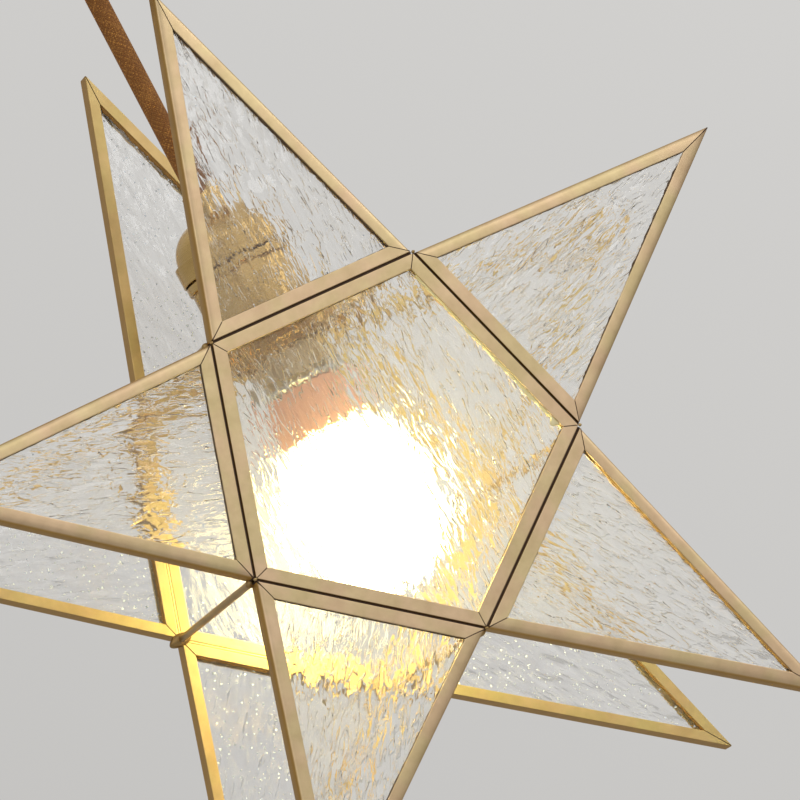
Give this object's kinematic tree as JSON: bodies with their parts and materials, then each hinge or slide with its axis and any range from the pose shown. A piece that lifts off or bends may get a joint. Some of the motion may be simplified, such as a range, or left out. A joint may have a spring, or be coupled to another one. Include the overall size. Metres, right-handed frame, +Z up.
{
  "type": "star pendant light",
  "caption": "Flat two-faced star lantern pendant in brass and rippled glass, with a bulb in a brass holder, a fabric cord and a ceiling canopy.",
  "frame": {"origin": "middle of the ceiling face, on top of the crossbar", "axes": "+Z up out of the ceiling face, X across the star's faces, -Y out of the front star"},
  "size_m": [0.3026, 0.115, 0.3537],
  "materials": {
    "satin_brass": "satin pale brass, lightly brushed",
    "holder_brass": "satin yellow brass",
    "solder": "brass-coloured solder, semi-bright",
    "contact_brass": "bright",
    "steel": "zinc plated",
    "plated_steel": "nickel plated",
    "rippled_glass": "clear, rippled on one face",
    "brown_fabric": "braided, brown with a copper fleck",
    "fibre": "pressed fibre",
    "dark_insulation": "moulded",
    "lead_insulation": "smooth",
    "bulb_plastic": "moulded, warm white",
    "board": "coated board",
    "block_plastic": "moulded",
    "lit_diffuser": "frosted, lit"
  },
  "bodies": {
    "ceiling_fitting": {"canopy": "satin_brass", "crossbar": "steel", "canopy_studs": "steel", "canopy_cap_nuts": "satin_brass", "cord_grip": "satin_brass", "grip_lock_nut": "satin_brass", "cord_tail": "brown_fabric", "terminal_block": "block_plastic", "canopy_leads": "lead_insulation"},
    "cord_bend": {"cord_bend": "brown_fabric"},
    "cord": {"cord": "brown_fabric"},
    "star": {"front_pentagon_frame": "satin_brass", "front_pentagon_glass": "rippled_glass", "front_top_point_frame": "satin_brass", "front_top_point_glass": "rippled_glass", "front_upper_right_point_frame": "satin_brass", "front_upper_right_point_glass": "rippled_glass", "front_lower_right_point_frame": "satin_brass", "front_lower_right_point_glass": "rippled_glass", "front_lower_left_point_frame": "satin_brass", "front_lower_left_point_glass": "rippled_glass", "front_upper_left_point_frame": "satin_brass", "front_upper_left_point_glass": "rippled_glass", "front_solder_joints": "solder", "back_pentagon_frame": "satin_brass", "back_pentagon_glass": "rippled_glass", "back_top_point_frame": "satin_brass", "back_top_point_glass": "rippled_glass", "back_upper_right_point_frame": "satin_brass", "back_upper_right_point_glass": "rippled_glass", "back_lower_right_point_frame": "satin_brass", "back_lower_right_point_glass": "rippled_glass", "back_lower_left_point_frame": "satin_brass", "back_lower_left_point_glass": "rippled_glass", "back_upper_left_point_frame": "satin_brass", "back_upper_left_point_glass": "rippled_glass", "back_solder_joints": "solder", "tie_bars": "satin_brass", "bridge_bar": "satin_brass", "upper_ring_nut": "satin_brass", "lower_ring_nut": "satin_brass", "holder_cap": "holder_brass", "neck_set_screw": "steel", "holder_shell": "holder_brass", "holder_liner": "fibre", "holder_core": "dark_insulation", "contact_sleeve": "contact_brass", "centre_contact": "contact_brass", "terminal_screws": "contact_brass", "cord_end": "brown_fabric", "holder_leads": "lead_insulation"},
    "bulb_tip": {"bulb_tip_contact": "plated_steel"},
    "bulb": {"bulb_diffuser": "lit_diffuser", "bulb_neck": "bulb_plastic", "bulb_light_board": "board", "bulb_driver_board": "board", "bulb_threaded_base": "plated_steel", "bulb_base_insulator": "dark_insulation"}
  },
  "joints": [
    {"name": "swing_front_back", "type": "hinge", "parent": "ceiling_fitting", "child": "cord_bend", "pos_m": [0, 0, -0.043], "axis": [1, 0, 0], "range_deg": [-20, 20]},
    {"name": "swing_side_to_side", "type": "hinge", "parent": "cord_bend", "child": "cord", "pos_m": [0, 0, -0.043], "axis": [0, 1, 0], "range_deg": [-20, 20]},
    {"name": "cord_twist", "type": "hinge", "parent": "cord", "child": "star", "pos_m": [0, 0, -0.1219], "axis": [0, 0, 1], "range_deg": [-180, 180]},
    {"name": "bulb_travel", "type": "slide", "parent": "star", "child": "bulb_tip", "axis": [0, 0, -1], "range_m": [0, 0.01814]},
    {"name": "bulb_turn", "type": "hinge", "parent": "bulb_tip", "child": "bulb", "pos_m": [0, 0, -0.1616], "axis": [0, 0, -1], "range_deg": [0, 1800]}
  ],
  "couplings": [
    {"joint": "bulb_turn", "follows": "bulb_travel", "rad_per_m": 1731.4}
  ]
}
